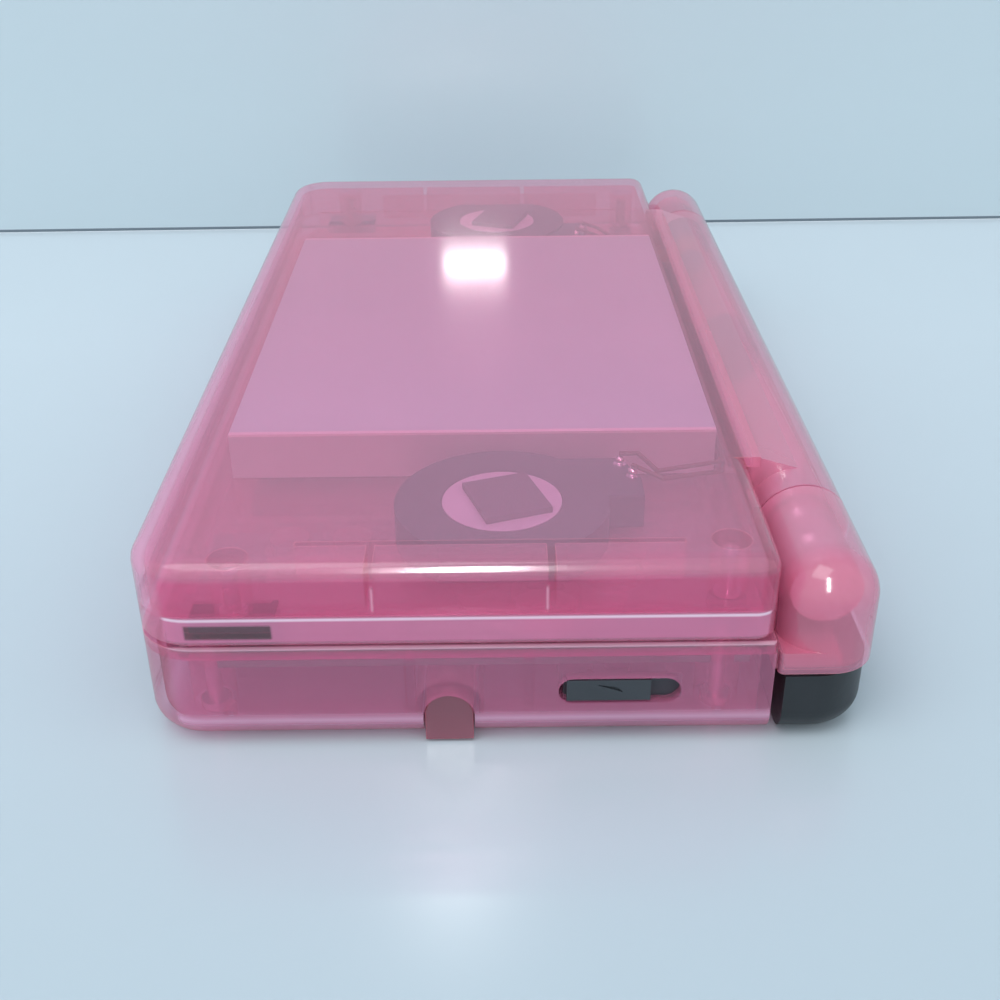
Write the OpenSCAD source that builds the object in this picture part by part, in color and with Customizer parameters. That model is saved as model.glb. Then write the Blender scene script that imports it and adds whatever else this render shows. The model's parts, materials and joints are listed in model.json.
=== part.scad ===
// Clamshell handheld console with two screens, closed.
// Origin: centre of the underside. +X is the user's right, +Y is the hinge side, +Z is up.

/* [Body] */
// Overall width
body_w = 133; // [124:1:160]
// Overall depth, front edge to the back of the hinge barrel
body_d = 73.9; // [70:0.1:90]
// Height of the base, feet to top face
base_h = 11.9; // [11.6:0.1:14.5]
// Thickness of the lid
lid_t = 9.3; // [9:0.1:12]
// Seam between the base and the lid
seam_gap = 0.3; // [0.2:0.05:0.5]
// Wall of the moulded shells
wall = 1.2; // [1:0.1:1.4]
// Radius of the front corners seen from above
corner_r = 6; // [5.5:0.5:8]
// Rounding along the lower edge of the base
base_round = 3; // [2:0.5:4]
// Rounding along the top edge of the lid
lid_round = 1.9; // [1.5:0.1:2.2]
// How far the feet stand proud of the underside
foot_proud = 0.3; // [0.2:0.1:0.5]

/* [Hinge] */
// Outer radius of the barrel and the knuckles
hinge_r = 5.1; // [5:0.1:5.6]
// Length of each end knuckle
knuckle_w = 17; // [15:0.5:19]
// Height of the hinge axis above the lid's lower edge
axis_rise = 2.8; // [2.4:0.1:3.2]
// Gap between each knuckle and the barrel
knuckle_gap = 0.3; // [0.2:0.05:0.4]
// Radial running clearance of the hinge shafts
running_gap = 0.05; // [0.02:0.01:0.09]
// How far the lid's top runs back towards the barrel
crest_run = 1.35; // [1:0.05:1.5]

/* [Screens] */
// Width of the visible screen area
screen_w = 62; // [56:1:64]
// Depth of the visible screen area
screen_d = 46.5; // [42:0.5:47]
// Centre of both screens from the front edge
screen_from_front = 33.4; // [33:0.1:35]

/* [Speakers] */
// Distance of each speaker from the middle
speaker_x = 49.4; // [48:0.1:50]
// Radius of the speaker holder
holder_r = 11.5; // [11:0.1:12.5]
// Radius of the speaker magnet
magnet_r = 6.4; // [6:0.1:7]

/* [Controls] */
// Distance of the direction pad and the action buttons from the middle
pad_x = 50; // [48.5:0.5:51]
// Distance from the middle of the action buttons to each button
button_pitch = 7.6; // [6.6:0.1:7.8]
// Radius of an action button
button_r = 3.6; // [3:0.1:3.9]
// Width of the direction pad
cross_w = 20; // [17:0.5:20.5]
// Width of one arm of the direction pad
cross_arm = 6.6; // [6:0.1:7]
// How far the buttons stand above the top face
button_proud = 0.7; // [0.5:0.1:0.8]
// Gap round a button
button_gap = 0.3; // [0.2:0.05:0.4]

/* [Slots] */
// Width of the cartridge slot in the front edge
cartridge_w = 58; // [54:1:60]
// Height of the cartridge slot
cartridge_h = 6.4; // [6:0.1:6.6]
// Width of the game card slot in the rear edge
card_w = 33.6; // [30:0.1:35]
// Height of the game card slot
card_h = 3.9; // [3.5:0.1:3.9]
// Diameter of the stylus
stylus_d = 4.9; // [4.5:0.1:5]
// Length of the stylus
stylus_len = 87; // [70:1:88]

/* [Battery] */
// Width of the battery
battery_w = 33; // [28:1:33]
// Length of the battery
battery_l = 49; // [40:1:49]
// Thickness of the battery
battery_t = 5.1; // [4.5:0.1:5.2]

/* [Hidden] */
$fn = 48;

e = 0.01;
half_w = body_w / 2;
front_y = -body_d / 2;
axis_y = body_d / 2 - hinge_r;
lid_bottom = base_h + seam_gap;
lid_top = lid_bottom + lid_t;
axis_z = lid_bottom + axis_rise;
shell_rear = axis_y - hinge_r - 0.4;
rear_y = body_d / 2 - 0.3;
rear_r = 2.4;
knuckle_x = half_w - knuckle_w;
barrel_x = knuckle_x - knuckle_gap;
crest_x = barrel_x - 3.7;
crest_y = shell_rear + crest_run;

// levels of the lid
frame_t = 3.2;
lid_split_z = lid_bottom + frame_t;
recess = 1;
frame_plate_z = lid_bottom + recess;
plate_t = 1.2;
frame_top_z = frame_plate_z + plate_t;
lid_ceiling = lid_top - wall;
lid_floor = frame_top_z + 0.1;
rim_w = 2.5;

// levels of the base
floor_z = foot_proud;
floor_top = floor_z + wall;
deck_t = 1.2;
deck_z = base_h - deck_t;
split_z = deck_z;
board_z = deck_z - 3.4;
board_t = 0.8;
board_top = board_z + board_t;
cradle_r = hinge_r + 0.35;
cradle_z = axis_z - cradle_r - 1.15;

screen_y = front_y + screen_from_front;

// ---- shared shapes ----

// Outline with rounded corners; rf at the front, rr at the rear
module plan(x0, x1, y0, y1, rf, rr) {
    translate([x0, y0 + rf]) square([x1 - x0, y1 - y0 - rf - rr]);
    translate([x0 + rf, y0]) square([x1 - x0 - 2 * rf, rf]);
    translate([x0 + rr, y1 - rr]) square([x1 - x0 - 2 * rr, rr]);
    translate([x0 + rf, y0 + rf]) sector(rf, 180);
    translate([x1 - rf, y0 + rf]) sector(rf, 270);
    translate([x0 + rr, y1 - rr]) sector(rr, 90);
    translate([x1 - rr, y1 - rr]) sector(rr, 0);
}

// Quarter of a disc
module sector(r, turn) {
    rotate(turn) intersection() {
        circle(r);
        square(r);
    }
}

module slab(x0, x1, y0, y1, z0, z1, rf, rr) {
    translate([0, 0, z0]) linear_extrude(z1 - z0) plan(x0, x1, y0, y1, rf, rr);
}

// Slab with its top edge (up = 1) or its bottom edge (up = -1) rounded by f
module rounded_slab(x0, x1, y0, y1, z0, z1, rf, rr, f, up) {
    mid = up > 0 ? z1 - f : z0 + f;
    slab(x0, x1, y0, y1, up > 0 ? z0 : mid, up > 0 ? mid : z1, rf, rr);
    slab(x0 + f, x1 - f, y0 + f, y1 - f, up > 0 ? mid : z0, up > 0 ? z1 : mid, rf - f, rr - f);
    translate([0, 0, mid]) {
        edge_run(x1 - f, y1 - rr, 0, y1 - y0 - rf - rr, f, up);
        edge_run(x1 - rf, y0 + f, -90, x1 - x0 - 2 * rf, f, up);
        edge_run(x0 + f, y0 + rf, 180, y1 - y0 - rf - rr, f, up);
        edge_run(x0 + rr, y1 - f, 90, x1 - x0 - 2 * rr, f, up);
        edge_corner(x0 + rf, y0 + rf, 180, rf, f, up);
        edge_corner(x1 - rf, y0 + rf, 270, rf, f, up);
        edge_corner(x0 + rr, y1 - rr, 90, rr, f, up);
        edge_corner(x1 - rr, y1 - rr, 0, rr, f, up);
    }
}

module edge_run(x, y, turn, length, f, up) {
    translate([x, y, 0]) rotate([0, 0, turn]) rotate([90, 0, 0])
        linear_extrude(length) scale_up(up) sector(f, 0);
}

module edge_corner(x, y, turn, r, f, up) {
    translate([x, y, 0]) rotate([0, 0, turn]) rotate_extrude(angle = 90)
        translate([r - f, 0]) scale_up(up) sector(f, 0);
}

module scale_up(up) {
    if (up > 0) children();
    else mirror([0, 1]) children();
}

module box(x0, x1, y0, y1, z0, z1) {
    translate([x0, y0, z0]) cube([x1 - x0, y1 - y0, z1 - z0]);
}

// Cylinder along X
module rod_x(x0, x1, y, z, r) {
    translate([x0, y, z]) rotate([0, 90, 0]) cylinder(r = r, h = x1 - x0);
}

// Cylinder along Y
module rod_y(x, y0, y1, z, r) {
    translate([x, y1, z]) rotate([90, 0, 0]) cylinder(r = r, h = y1 - y0);
}

module post(x, y, z0, z1, r) {
    translate([x, y, z0]) cylinder(r = r, h = z1 - z0);
}

// Long hole with round ends in the YZ plane, run along X
module slot_x(x0, x1, y0, y1, z0, z1) {
    r = (z1 - z0) / 2;
    rod_x(x0, x1, y0 + r, z0 + r, r);
    rod_x(x0, x1, y1 - r, z0 + r, r);
    box(x0, x1, y0 + r, y1 - r, z0, z1);
}

// Round wire along a list of points; every other length is a hair thicker
module wire(points, r) {
    for (i = [0:len(points) - 2]) {
        d = points[i + 1] - points[i];
        translate(points[i]) rotate([0, acos(d[2] / norm(d)), atan2(d[1], d[0])])
            translate([0, 0, -r / 2]) cylinder(r = r + 0.02 * (i % 2), h = norm(d) + r);
    }
}

module both_sides() {
    children();
    mirror([1, 0, 0]) children();
}

// ---- lid ----

bumper_x = half_w - 3.3;
bumper_y = front_y + 9.85;
bumper_l = 8.6;
bumper_w = 3.4;
rear_plug_x = half_w - 6;
rear_plug_y = shell_rear - 4.2;
rear_plug_r = 2;
lid_screw_r = 0.8;
lid_boss_r = 2;

function lid_screw_xy() = [[bumper_x - 0.2, bumper_y], [-bumper_x + 0.2, bumper_y],
    [rear_plug_x, rear_plug_y], [-rear_plug_x, rear_plug_y]];

module lid_outer_cover() {
    color([0.92, 0.55, 0.72, 0.45]) {
        difference() {
            rounded_slab(-half_w, half_w, front_y, shell_rear, lid_split_z, lid_top,
                corner_r, rear_r, lid_round, 1);
            rounded_slab(-half_w + wall, half_w - wall, front_y + wall, shell_rear - wall,
                lid_split_z - 1, lid_ceiling, corner_r - wall, rear_r - wall,
                lid_round - wall, 1);
        }
        box(-crest_x, crest_x, shell_rear - lid_round, crest_y, lid_ceiling, lid_top);
        both_sides() lid_side_ribs();
        for (p = lid_screw_xy()) lid_boss(p);
    }
}

// Long rib beside the side wall with its cross ribs
rib_t = 0.8;
rib_x = half_w - 5.6;
rib_foot_z = lid_split_z + 0.6;
cross_rib_mid = -4.55;
cross_rib_half = 8.85;
module lid_side_ribs() {
    box(rib_x - rib_t, rib_x, front_y + 16, shell_rear - wall - 7.5, rib_foot_z, lid_ceiling + e);
    for (s = [-1, 1])
        translate([0, cross_rib_mid + s * cross_rib_half, 0])
            box(rib_x, half_w - wall + e, -rib_t / 2, rib_t / 2, rib_foot_z, lid_ceiling + e);
}

module lid_boss(p) {
    difference() {
        post(p[0], p[1], frame_top_z + 0.1, lid_ceiling + e, lid_boss_r);
        post(p[0], p[1], frame_top_z, lid_ceiling - 1, lid_screw_r + 0.05);
    }
}

grille_pitch = 4;
grille_r = 0.9;
barrel_bore = 3.9;
ribbon_x0 = -43.5;
ribbon_x1 = -36.5;
ribbon_t = 0.25;

module lid_inner_frame() {
    color([0.92, 0.5, 0.68, 0.45]) {
        difference() {
            union() {
                lid_frame_shell();
                barrel();
            }
            rod_x(-half_w, half_w, axis_y, axis_z, barrel_bore);
            box(ribbon_x0 - 0.5, ribbon_x1 + 0.5, shell_rear - 3, axis_y, axis_z - 0.6,
                axis_z + 0.6);
            post(0, axis_y, axis_z - hinge_r - 1, axis_z, 0.6);
        }
    }
}

module lid_frame_shell() {
    difference() {
        rounded_slab(-half_w, half_w, front_y, shell_rear, lid_bottom, lid_split_z,
            corner_r, rear_r, 0.6, -1);
        slab(-half_w + rim_w, half_w - rim_w, front_y + rim_w, shell_rear - rim_w,
            lid_bottom - 1, frame_plate_z, corner_r - rim_w, 1);
        slab(-half_w + wall, half_w - wall, front_y + wall, shell_rear - wall,
            frame_top_z, lid_split_z + 1, corner_r - wall, rear_r - wall);
        box(-screen_w / 2, screen_w / 2, screen_y - screen_d / 2, screen_y + screen_d / 2,
            lid_bottom, lid_split_z);
        both_sides() grille_holes();
        both_sides() box(bumper_x - bumper_w / 2, bumper_x + bumper_w / 2, bumper_y - bumper_l / 2,
            bumper_y + bumper_l / 2, lid_bottom + 0.5, lid_split_z);
        both_sides() post(rear_plug_x, rear_plug_y, lid_bottom, lid_split_z, rear_plug_r);
    }
}

// Six sound holes in two rows of three
module grille_holes() {
    for (i = [-0.5, 0.5], j = [-1, 0, 1])
        post(speaker_x + i * grille_pitch, speaker_y + j * grille_pitch, lid_bottom, lid_split_z,
            grille_r);
}

// Hinge barrel; its neck slopes down from the rear edge of the lid's top
neck_z0 = lid_bottom + 0.4;
neck_gap = 0.02;
module barrel() {
    rod_x(-barrel_x, barrel_x, axis_y, axis_z, hinge_r);
    box(-barrel_x, barrel_x, shell_rear, axis_y - 3, neck_z0, axis_z + 2.4);
    translate([-crest_x, 0, 0]) rotate([90, 0, 90]) linear_extrude(2 * crest_x) polygon([
        [shell_rear + neck_gap, neck_z0], [shell_rear + neck_gap, lid_ceiling - neck_gap],
        [crest_y + neck_gap, lid_ceiling - neck_gap], [crest_y + neck_gap, lid_top - 0.15],
        [axis_y + 1, axis_z + hinge_r - 0.3], [axis_y, axis_z]]);
}

window_t = 0.9;
module upper_display_window() {
    color([0.85, 0.85, 0.9, 0.4])
        box(-screen_w / 2 + 0.1, screen_w / 2 - 0.1, screen_y - screen_d / 2 + 0.1,
            screen_y + screen_d / 2 - 0.1, frame_plate_z + 0.2, frame_plate_z + 0.2 + window_t);
}

panel_w = screen_w + 6;
panel_t = 1.5;
shield_w = panel_w + 4;
shield_front = front_y + 5.15;
shield_rear = shell_rear - wall - 0.7;
panel_y0 = shield_front + 1.25;
panel_y1 = shield_rear - 1;
module upper_display_panel() {
    color([0.12, 0.12, 0.16])
        box(-panel_w / 2, panel_w / 2, panel_y0, panel_y1, lid_floor, lid_floor + panel_t);
}

backlight_t = 2.6;
backlight_z = lid_floor + panel_t + 0.05;
module upper_backlight() {
    color([0.92, 0.93, 0.96])
        box(-panel_w / 2, panel_w / 2, panel_y0, panel_y1, backlight_z, backlight_z + backlight_t);
}

shield_t = 0.5;
shield_top = lid_ceiling - 0.15;
module upper_display_shield() {
    color([0.78, 0.72, 0.88]) difference() {
        box(-shield_w / 2, shield_w / 2, shield_front, shield_rear, lid_floor, shield_top);
        box(-shield_w / 2 + shield_t, shield_w / 2 - shield_t, shield_front + shield_t,
            shield_rear - shield_t, lid_floor - 1, shield_top - shield_t);
    }
}

speaker_y = -0.4;
holder_bore = 8.4;
holder_flat = speaker_x + 9.5;
holder_top = lid_ceiling - 1.6;
holder_rim = 1;
tab_x = speaker_x - 10;
tab_w = 8.8;
tab_y = 15;
tab_slant_x = 5;
tab_slant_y = 1.8;
tab_top = holder_top - 0.3;

// Round holder, flat towards the side wall, with a tab for the terminals and a rim over the driver
module speaker_holder() {
    difference() {
        union() {
            intersection() {
                post(speaker_x, speaker_y, lid_floor, holder_top, holder_r);
                box(shield_w / 2 + 0.3, holder_flat, front_y, axis_y, 0, lid_top);
            }
            translate([tab_x, 0, lid_floor]) linear_extrude(tab_top - lid_floor) polygon([
                [0, speaker_y], [tab_w, speaker_y], [tab_w, tab_y], [tab_slant_x, tab_y],
                [0, tab_y - tab_slant_y]]);
        }
        post(speaker_x, speaker_y, lid_floor - 1, holder_top - holder_rim, holder_bore);
        post(speaker_x, speaker_y, lid_floor, holder_top + 1, magnet_r + 0.1);
    }
}

module speaker_driver() {
    post(speaker_x, speaker_y, lid_floor, holder_top - holder_rim - 0.1, holder_bore - 0.1);
    post(speaker_x, speaker_y, lid_floor, holder_top, magnet_r);
}

module speaker_holder_right() {
    color([0.25, 0.2, 0.25]) speaker_holder();
}

module speaker_holder_left() {
    color([0.25, 0.2, 0.25]) mirror([1, 0, 0]) speaker_holder();
}

module speaker_right() {
    color([0.8, 0.78, 0.85]) speaker_driver();
}

module speaker_left() {
    color([0.8, 0.78, 0.85]) mirror([1, 0, 0]) speaker_driver();
}

pad_w = 8.2;
pad_d = 7.3;
pad_turn = 19;
pad_shift = 0.5;
module speaker_pads() {
    color([0.3, 0.25, 0.3]) both_sides() translate([speaker_x, speaker_y + pad_shift, holder_top])
        rotate(pad_turn) translate([-pad_w / 2, -pad_d / 2, 0]) cube([pad_w, pad_d, 0.7]);
}

pad_plate_t = 0.15;
pad_plate_r = 0.75;
solder_r = 0.55;

function terminal_xy() = [[tab_x + 1.6, tab_y - 2.1], [tab_x + 4.4, tab_y - 0.95]];

module speaker_terminals() {
    color([0.85, 0.85, 0.88]) both_sides() for (p = terminal_xy()) {
        post(p[0], p[1], tab_top, tab_top + pad_plate_t, pad_plate_r);
        translate([p[0], p[1], tab_top + solder_r + 0.02]) sphere(r = solder_r);
    }
}

// Two wires to each speaker; the right pair runs behind the screen to the display ribbon
wire_r = 0.25;
wire_top = tab_top + 2 * solder_r + wire_r + 0.05;
wire_y = shell_rear - wall - 0.35;
wire_end_z = axis_z + ribbon_t / 2 + wire_r + 0.03;
module speaker_wires() {
    a = terminal_xy()[0];
    b = terminal_xy()[1];
    color([0.25, 0.12, 0.12]) {
        wire([[a[0], a[1], wire_top], [a[0], a[1] + 2, wire_top], [a[0] + 4.2, a[1] + 3.7, wire_top],
            [a[0] + 1.4, wire_y - 0.9, wire_top - 0.4], [a[0] - 2.2, wire_y, wire_top - 1.4],
            [ribbon_x1 - 2.6, wire_y, wire_top - 1.4], [ribbon_x1 - 3.9, wire_y, wire_end_z]], wire_r);
        wire([[b[0], b[1], wire_top], [b[0] + 2.6, b[1] + 3.1, wire_top - 0.3],
            [b[0] - 0.4, wire_y - 0.9, wire_top - 1.1], [a[0] - 1.2, wire_y, wire_top - 2.1],
            [ribbon_x1 - 0.2, wire_y, wire_top - 2.1], [ribbon_x1 - 1.4, wire_y, wire_end_z]], wire_r);
        wire([[-a[0], a[1], wire_top], [-a[0] + 0.3, a[1] + 2.8, wire_top - 0.9],
            [-a[0] - 0.2, wire_y - 2.6, wire_end_z]], wire_r);
        wire([[-b[0], b[1], wire_top], [-b[0] - 0.2, b[1] + 2.6, wire_top - 0.9],
            [-b[0] + 1.4, wire_y - 2.4, wire_end_z]], wire_r);
    }
}

module microphone() {
    color([0.15, 0.15, 0.15]) difference() {
        rod_x(-3.5, 3.5, axis_y, axis_z, barrel_bore - 0.05);
        post(0, axis_y, axis_z - hinge_r - 1, axis_z - 1, 0.5);
    }
}

module lid_bumpers() {
    color([0.3, 0.28, 0.3]) both_sides() {
        box(bumper_x - bumper_w / 2 + 0.05, bumper_x + bumper_w / 2 - 0.05,
            bumper_y - bumper_l / 2 + 0.05, bumper_y + bumper_l / 2 - 0.05,
            lid_bottom + 0.65, frame_top_z - 0.35);
        box(bumper_x - bumper_w / 2 + 0.05, bumper_x + bumper_w / 2 - 0.05,
            bumper_y + bumper_l / 2 - 0.65, bumper_y + bumper_l / 2 - 0.05,
            frame_top_z - 0.35 - e, frame_top_z);
        post(rear_plug_x, rear_plug_y, frame_plate_z - 0.6, frame_plate_z + 0.3,
            rear_plug_r - 0.05);
    }
}

module lid_screws() {
    color([0.6, 0.6, 0.62]) for (p = lid_screw_xy()) {
        post(p[0], p[1], frame_top_z - 0.3, frame_top_z + 0.05, 1.4);
        post(p[0], p[1], frame_top_z + 0.05, lid_ceiling - 1.5, lid_screw_r);
    }
}

roll_r = 2.6;
module display_ribbon() {
    color([0.85, 0.5, 0.2]) {
        box(ribbon_x0, ribbon_x1, shell_rear - 4.6, axis_y - roll_r + 0.1,
            axis_z - ribbon_t / 2, axis_z + ribbon_t / 2);
        difference() {
            rod_x(-knuckle_x - 8, ribbon_x1, axis_y, axis_z, roll_r);
            rod_x(-knuckle_x - 9, ribbon_x1 + 1, axis_y, axis_z, roll_r - ribbon_t);
        }
    }
}

// ---- hinge ----

cam_shaft_r = 2;
cam_len = 8.5;
cam_flat = 3;
cam_groove_y = 1.3;
cam_groove_w = 1;
unit_r = 3.6;
unit_len = 12;
unit_waist_r = 3.1;
unit_ring = 1.6;
module hinge_cam() {
    color([0.75, 0.75, 0.78]) {
        rod_x(barrel_x - 0.2, knuckle_x + 5, axis_y, axis_z, cam_shaft_r);
        difference() {
            rod_x(barrel_x - cam_len, barrel_x - 0.2, axis_y, axis_z, barrel_bore - 0.1);
            for (s = [-1, 1]) {
                translate([0, s * cam_groove_y, 0])
                    box(0, half_w, axis_y - cam_groove_w / 2, axis_y + cam_groove_w / 2,
                        axis_z + cam_flat - 1.2, lid_top);
                translate([0, 0, s * (cam_flat + hinge_r)])
                    box(0, half_w, axis_y - hinge_r, axis_y + hinge_r, axis_z - hinge_r,
                        axis_z + hinge_r);
            }
        }
    }
}

module hinge_unit_body() {
    x0 = knuckle_x + 0.2;
    color([0.72, 0.72, 0.75]) difference() {
        union() {
            rod_x(x0, x0 + unit_len, axis_y, axis_z, unit_waist_r);
            for (x = [x0, x0 + (unit_len - unit_ring) / 2, x0 + unit_len - unit_ring])
                rod_x(x, x + unit_ring, axis_y, axis_z, unit_r);
        }
        rod_x(knuckle_x - 1, knuckle_x + 5.4, axis_y, axis_z, cam_shaft_r + running_gap);
    }
}

module hinge_bush() {
    color([0.2, 0.2, 0.22]) difference() {
        rod_x(-knuckle_x - 9, -knuckle_x + 5.5, axis_y, axis_z, barrel_bore - running_gap);
        rod_x(-knuckle_x - 10, -knuckle_x + 6, axis_y, axis_z, roll_r + 0.35);
    }
}

// ---- knuckles ----

knuckle_round = hinge_r - 0.3;
knuckle_skirt_z = cradle_z - 0.2;

// Half plan of a knuckle with the outer corner rounded by r
module knuckle_half(r) {
    difference() {
        square([knuckle_w, hinge_r]);
        translate([knuckle_w - r, hinge_r - r]) difference() {
            square(r + e);
            sector(r, 0);
        }
    }
}

// Domed upper part on a straight waist, with a square-fronted skirt below
module knuckle(bore_r) {
    difference() {
        translate([knuckle_x, axis_y, 0]) {
            translate([0, 0, axis_z]) rotate([90, 0, 90]) rotate_extrude(angle = 180)
                rotate(90) mirror([0, 1]) knuckle_half(knuckle_round);
            translate([0, 0, knuckle_skirt_z]) linear_extrude(axis_z - knuckle_skirt_z)
                knuckle_half(knuckle_round);
            translate([0, 0, split_z]) linear_extrude(axis_z - split_z)
                mirror([0, 1]) knuckle_half(knuckle_round);
            translate([0, 0, knuckle_skirt_z]) linear_extrude(split_z - knuckle_skirt_z)
                mirror([0, 1]) knuckle_half(skirt_corner);
        }
        rod_x(knuckle_x - 1, knuckle_x + unit_len + 0.4, axis_y, axis_z, bore_r);
        box(knuckle_x + tongue_x0 - tongue_gap, half_w - tongue_end + tongue_gap,
            tongue_y0 - pocket_gap - 0.1, tongue_y1 + tongue_gap, knuckle_skirt_z - 1,
            tongue_top + 0.35);
    }
}

// Tongue on top of a shoulder button that guides it in the skirt's pocket
skirt_corner = 0.6;
tongue_x0 = 4.5;
tongue_end = 1.3;
tongue_gap = 0.5;
tongue_y0 = axis_y - hinge_r + 1.85;
tongue_y1 = axis_y + 0.75;
tongue_top = knuckle_skirt_z + 1.1;

// ---- base layout ----

screw_boss_r = 2.3;
screw_r = 0.8;
screw_head_r = 1.5;

silo_y = -6;
silo_r = stylus_d / 2 + 0.15;
silo_z = floor_top + silo_r - 0.7;
silo_end = half_w - stylus_len - 0.8;
head_l = 8.7;

bay_gap = 0.4;
bay_x1 = silo_end - 2;
bay_x0 = bay_x1 - battery_w - 2 * bay_gap;
bay_y1 = shell_rear - wall - 2.2;
bay_y0 = bay_y1 - battery_l - 2 * bay_gap;
bay_wall = 1;
bay_top = floor_top + 0.2 + battery_t;

cartridge_x0 = bay_x1 + bay_wall + 1.6;
cartridge_z = floor_top + 0.3;
cartridge_depth = 21;
cartridge_gap = 0.2;

card_z = floor_top + 1.3;
card_depth = 33;
card_to_bay = 4.9;
socket_wall = 0.6;
card_x = bay_x1 + bay_wall + card_to_bay + socket_wall + card_w / 2;

screw_to_card = 7.7;
rear_screw_x = card_w / 2 + screw_to_card;
screw_xy = [[-half_w + 5.6, front_y + 6.3], [half_w - 5.6, front_y + 6.3],
    [-half_w + 5.6, shell_rear - 4.6], [half_w - 5.6, shell_rear - 4.6],
    [card_x - rear_screw_x, shell_rear + 4.8], [card_x + rear_screw_x, shell_rear + 4.8],
    [cartridge_x0 + cartridge_w + 3.2, screen_y - 9.3]];

pocket_gap = 1.15;
arm_z0 = 3;
arm_z1 = cradle_z - 2;
pivot_x = knuckle_x - 3.6;
pivot_y = rear_y - 4.2;
eye_r = 2;
pin_r = 0.8;

power_y0 = 5;
power_y1 = 17.2;
power_z0 = board_z - 2.4;
power_z1 = power_z0 + 3;
power_knob_y0 = 5.7;
power_knob_y1 = 14.2;
power_travel = 2;

volume_x = -half_w + 14.5;
volume_w = 10;
volume_z0 = board_z - 2.9;
volume_h = 2.6;
volume_knob_w = 4.6;

jack_x = half_w - 14;
jack_z = 5;
jack_r = 1.8;

port_x = -34;
port_w = 8;
port_h = 3.8;
port_z = floor_top + 1.5;

strap_x = 36;
strap_w = 7;
strap_z0 = 2.6;
strap_z1 = 6.8;

led_xy = [[half_w - 10, shell_rear - 3.4], [half_w - 13, shell_rear - 3.4]];
led_r = 0.9;

pad_y = screen_y + 7.5;
key_x = half_w - 20.5;
start_y = screen_y - 13.5;
select_y = start_y - 7;
key_r = 2.2;
key_top = base_h + button_proud;
cross_r = cross_w / 2;

function button_xy() = [[pad_x, pad_y + button_pitch], [pad_x + button_pitch, pad_y],
    [pad_x, pad_y - button_pitch], [pad_x - button_pitch, pad_y]];

// ---- base shells ----

// Whole outer form of the base, shoulder buttons included
module base_form(inset) {
    rounded_slab(-half_w + inset, half_w - inset, front_y + inset, rear_y - inset,
        floor_z + inset, split_z, corner_r - inset, corner_r - inset, base_round - inset, -1);
}

// Corner block that a shoulder button fills
module shoulder_corner(grow) {
    both_sides() box(knuckle_x - grow, half_w + 1, shell_rear - grow, rear_y + 1, -1, split_z + 1);
}

module base_bottom_case() {
    color([0.92, 0.55, 0.72, 0.45]) {
        difference() {
            base_form(0);
            difference() {
                base_form_inside();
                shoulder_corner(wall);
            }
            shoulder_corner(0);
            box(-knuckle_x - 1, knuckle_x + 1, shell_rear - wall - 0.2, rear_y + 1,
                cradle_z - 0.1, split_z + 1);
            case_openings();
            for (p = screw_xy) post(p[0], p[1], -1, floor_top + 1, screw_head_r + 0.1);
            both_sides() foot_block(0, -1);
        }
        difference() {
            for (p = screw_xy) post(p[0], p[1], floor_top - e, board_z - 0.1, screw_boss_r);
            for (p = screw_xy) post(p[0], p[1], -1, board_z, screw_r + 0.05);
            for (p = screw_xy) post(p[0], p[1], -1, floor_top + 0.5, screw_head_r + 0.1);
        }
        stylus_silo();
        battery_bay();
        both_sides() pivot_post();
        both_sides() moulded_foot();
        side_ribs();
    }
}

// The cavity runs out through the top
module base_form_inside() {
    rounded_slab(-half_w + wall, half_w - wall, front_y + wall, rear_y - wall, floor_top,
        split_z + 1, corner_r - wall, corner_r - wall, base_round - wall, -1);
}

module case_openings() {
    slot_x(half_w - 2 * wall, half_w + 1, power_y0, power_y1, power_z0, power_z1);
    silo_cut();
    box(bay_x0, bay_x1, bay_y0, bay_y1, -1, floor_top + 1);
    box(cartridge_x0, cartridge_x0 + cartridge_w, front_y - 1, front_y + 2 * wall,
        cartridge_z, cartridge_z + cartridge_h);
    box(card_x - card_w / 2, card_x + card_w / 2, rear_y - 2 * wall, rear_y + 1, card_z,
        card_z + card_h);
    box(port_x - port_w / 2, port_x + port_w / 2, rear_y - 2 * wall, rear_y + 1,
        port_z, port_z + port_h);
    box(volume_x - volume_w / 2, volume_x + volume_w / 2, front_y - 1, front_y + 2 * wall,
        volume_z0, volume_z0 + volume_h);
    rod_y(jack_x, front_y - 1, front_y + 2 * wall, jack_z, jack_r + 1.1);
    box(strap_x - strap_w / 2, strap_x + strap_w / 2, rear_y - 2 * wall, rear_y + 1,
        strap_z0, strap_z1);
    both_sides() box(knuckle_x - 2 * wall, knuckle_x + 1, pivot_y - 1.6, pivot_y + 2.2,
        arm_z0 - 0.4, arm_z1 + 0.4);
}

// Bore of the stylus silo, open below at its mouth
module silo_cut() {
    rod_x(silo_end, half_w + 1, silo_y, silo_z, silo_r);
    box(half_w - head_l - 0.3, half_w + 1, silo_y - silo_r, silo_y + silo_r, -1, silo_z);
}

silo_wall = 0.9;
module stylus_silo() {
    difference() {
        union() {
            rod_x(silo_end - silo_wall, half_w - wall, silo_y, silo_z, silo_r + silo_wall);
            box(silo_end - silo_wall, half_w - wall - 1, silo_y - 0.6, silo_y + 0.6, floor_top - e,
                board_z - 0.1);
        }
        silo_cut();
        box(silo_end - 2, half_w, silo_y - 5, silo_y + 5, -5, floor_top - e);
    }
}

module battery_bay() {
    difference() {
        box(bay_x0 - bay_wall, bay_x1 + bay_wall, bay_y0 - bay_wall, bay_y1 + bay_wall,
            floor_top - e, bay_top);
        box(bay_x0, bay_x1, bay_y0, bay_y1, 0, bay_top + 1);
        box(bay_x0 + 4, bay_x0 + 14, bay_y1 - 1, bay_y1 + 2, floor_top + 1, bay_top + 1);
    }
}

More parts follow.
